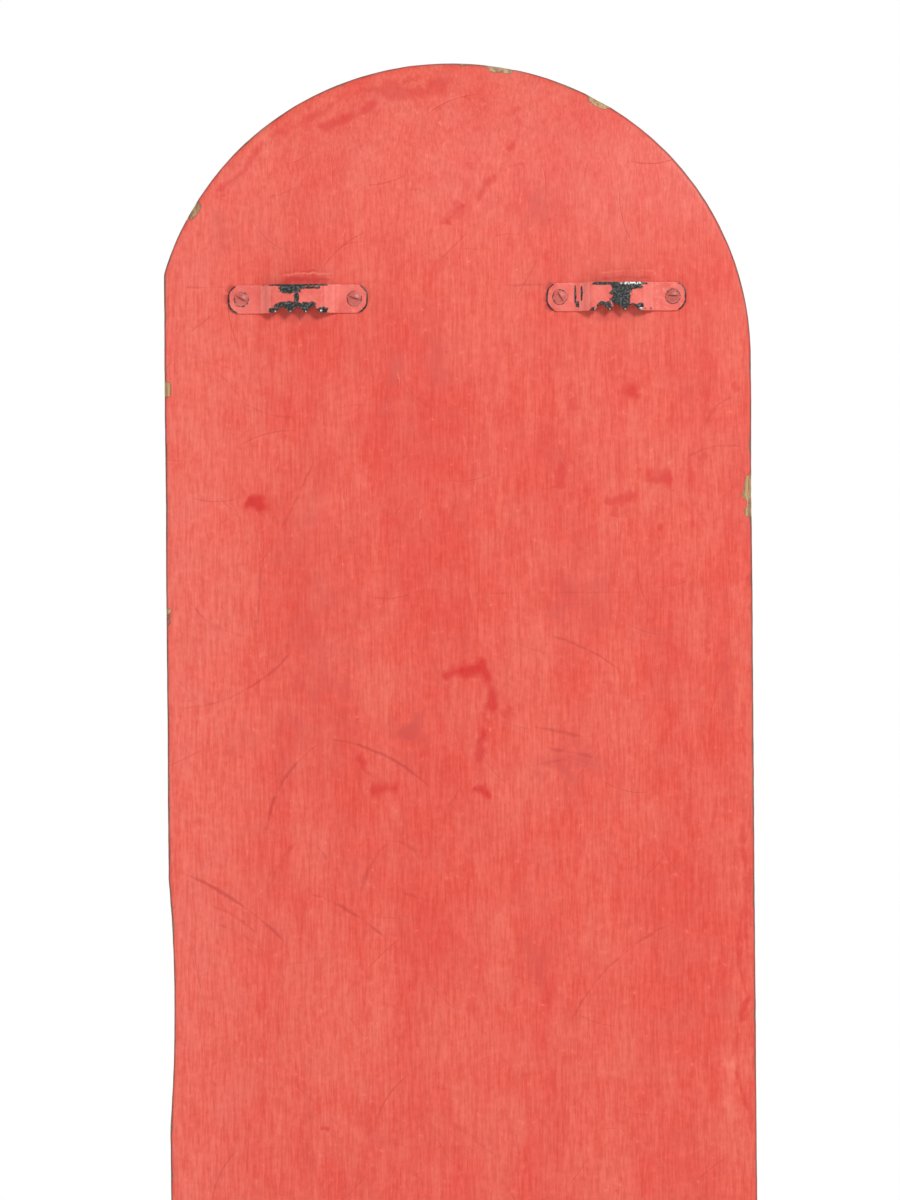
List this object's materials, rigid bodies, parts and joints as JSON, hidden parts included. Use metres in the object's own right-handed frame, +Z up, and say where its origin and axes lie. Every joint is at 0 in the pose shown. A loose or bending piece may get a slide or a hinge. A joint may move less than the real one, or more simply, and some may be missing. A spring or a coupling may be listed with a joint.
{
  "type": "wooden toboggan",
  "caption": "Round-nosed plank toboggan with cross battens on its deck and sawtooth wall hangers screwed to its running face, all in worn red enamel.",
  "frame": {"origin": "on the wall plane, midway between the two wall hangers and level with the tops of their notches, where the wall hooks carry the toboggan", "axes": "+Z up along the plank towards its round nose, +Y square to the plank away from the wall towards the deck side, +X along the width; the running face with the hangers looks towards -Y"},
  "size_m": [0.286, 0.0423, 1.2199],
  "materials": {
    "plank_enamel": "brushed coral-red enamel over softwood, scratched and rubbed, bare tan wood at the edges and chips",
    "batten_enamel": "the same enamel over hardwood, rubbed through to bare wood along the top edges",
    "hanger_enamel": "the same enamel brushed over steel, chipped to black metal on the raised middle and the teeth",
    "screw_enamel": "the same enamel over slotted steel screw heads, worn at the slots and rims"
  },
  "bodies": {
    "root": {"plank": "plank_enamel", "batten_nose": "batten_enamel", "batten_front": "batten_enamel", "batten_rear": "batten_enamel", "batten_tail": "batten_enamel", "batten_screw_nose_left": "screw_enamel", "batten_screw_nose_middle": "screw_enamel", "batten_screw_nose_right": "screw_enamel", "batten_screw_front_left": "screw_enamel", "batten_screw_front_middle": "screw_enamel", "batten_screw_front_right": "screw_enamel", "batten_screw_rear_left": "screw_enamel", "batten_screw_rear_middle": "screw_enamel", "batten_screw_rear_right": "screw_enamel", "batten_screw_tail_left": "screw_enamel", "batten_screw_tail_middle": "screw_enamel", "batten_screw_tail_right": "screw_enamel", "hanger_left": "hanger_enamel", "hanger_right": "hanger_enamel", "hanger_screw_left_outer": "screw_enamel", "hanger_screw_left_inner": "screw_enamel", "hanger_screw_right_outer": "screw_enamel", "hanger_screw_right_inner": "screw_enamel"}
  },
  "joints": []
}
